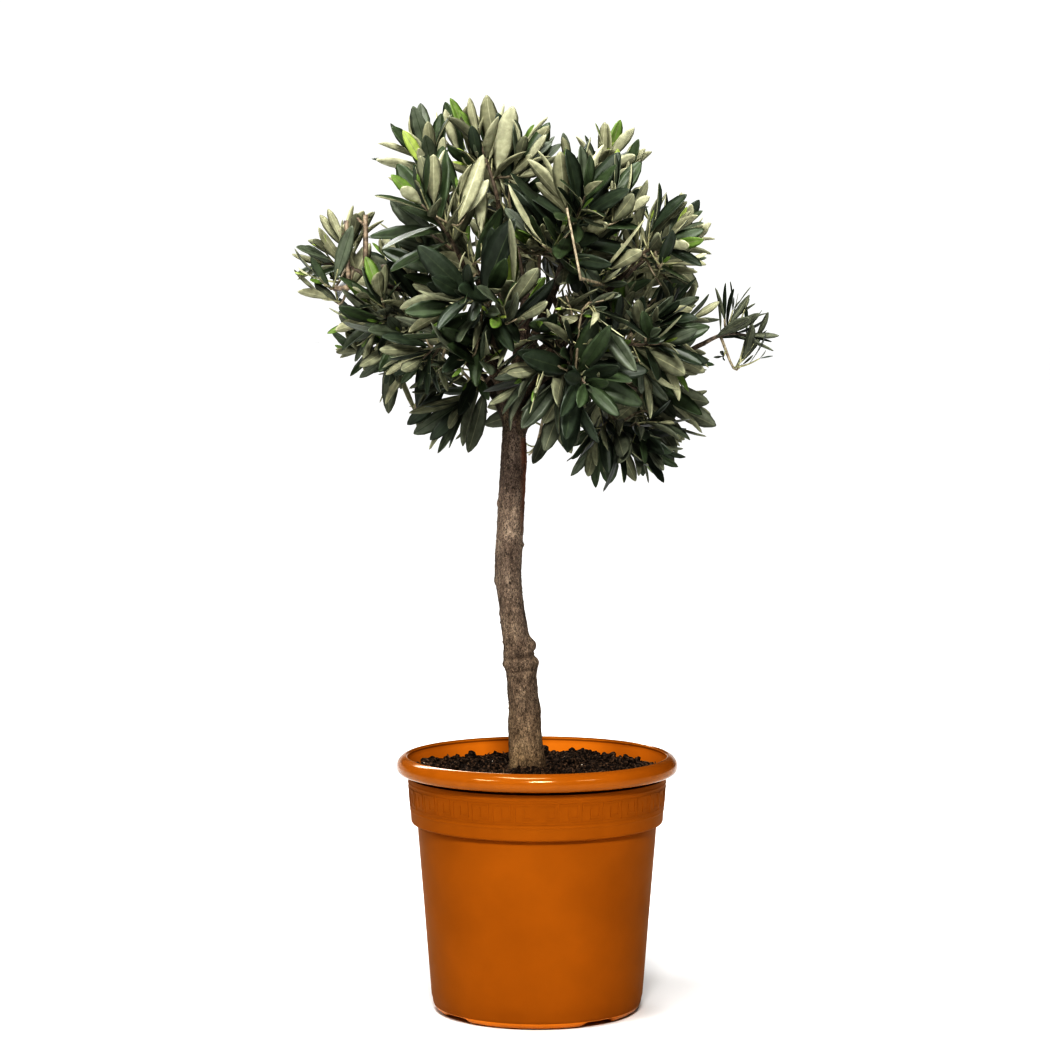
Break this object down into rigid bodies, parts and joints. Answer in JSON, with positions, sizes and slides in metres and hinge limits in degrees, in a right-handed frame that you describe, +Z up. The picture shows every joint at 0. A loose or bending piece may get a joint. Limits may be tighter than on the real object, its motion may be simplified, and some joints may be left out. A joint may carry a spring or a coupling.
{
  "type": "potted olive tree",
  "caption": "Young olive tree with a rounded leafy head on a clear stem, standing in a round nursery pot with a thick lip and drain recesses.",
  "frame": {"origin": "on the pot's axis, on the flat underside that it stands on", "axes": "+Z up along the pot's axis; the front of the plant faces -Y and +X is to its right"},
  "size_m": [0.4131, 0.3736, 0.7836],
  "materials": {
    "pot_plastic": "satin",
    "soil": "matte",
    "bark": "matte",
    "leaf": "satin"
  },
  "bodies": {
    "root": {"pot": "pot_plastic", "soil": "soil", "trunk": "bark", "bough_back_left": "bark", "bough_back_low": "bark", "bough_back_right": "bark", "bough_back_top": "bark", "bough_front_centre": "bark", "bough_front_left": "bark", "bough_front_low": "bark", "bough_front_right": "bark", "bough_front_upper_left": "bark", "bough_front_upper_right": "bark", "bough_left_back": "bark", "bough_left_bottom": "bark", "bough_left_far": "bark", "bough_left_low": "bark", "bough_left_upper": "bark", "bough_right_back": "bark", "bough_right_bottom": "bark", "bough_right_far": "bark", "bough_right_low": "bark", "bough_right_tip": "bark", "bough_right_upper": "bark", "bough_top_crown": "bark", "bough_top_left": "bark", "bough_top_right": "bark", "foliage_back_left": "leaf", "foliage_back_low": "leaf", "foliage_back_right": "leaf", "foliage_back_top": "leaf", "foliage_front_centre": "leaf", "foliage_front_left": "leaf", "foliage_front_low": "leaf", "foliage_front_right": "leaf", "foliage_front_upper_left": "leaf", "foliage_front_upper_right": "leaf", "foliage_left_back": "leaf", "foliage_left_bottom": "leaf", "foliage_left_far": "leaf", "foliage_left_low": "leaf", "foliage_left_upper": "leaf", "foliage_right_back": "leaf", "foliage_right_bottom": "leaf", "foliage_right_far": "leaf", "foliage_right_low": "leaf", "foliage_right_tip": "leaf", "foliage_right_upper": "leaf", "foliage_top_crown": "leaf", "foliage_top_left": "leaf", "foliage_top_middle": "leaf", "foliage_top_right": "leaf"}
  },
  "joints": []
}
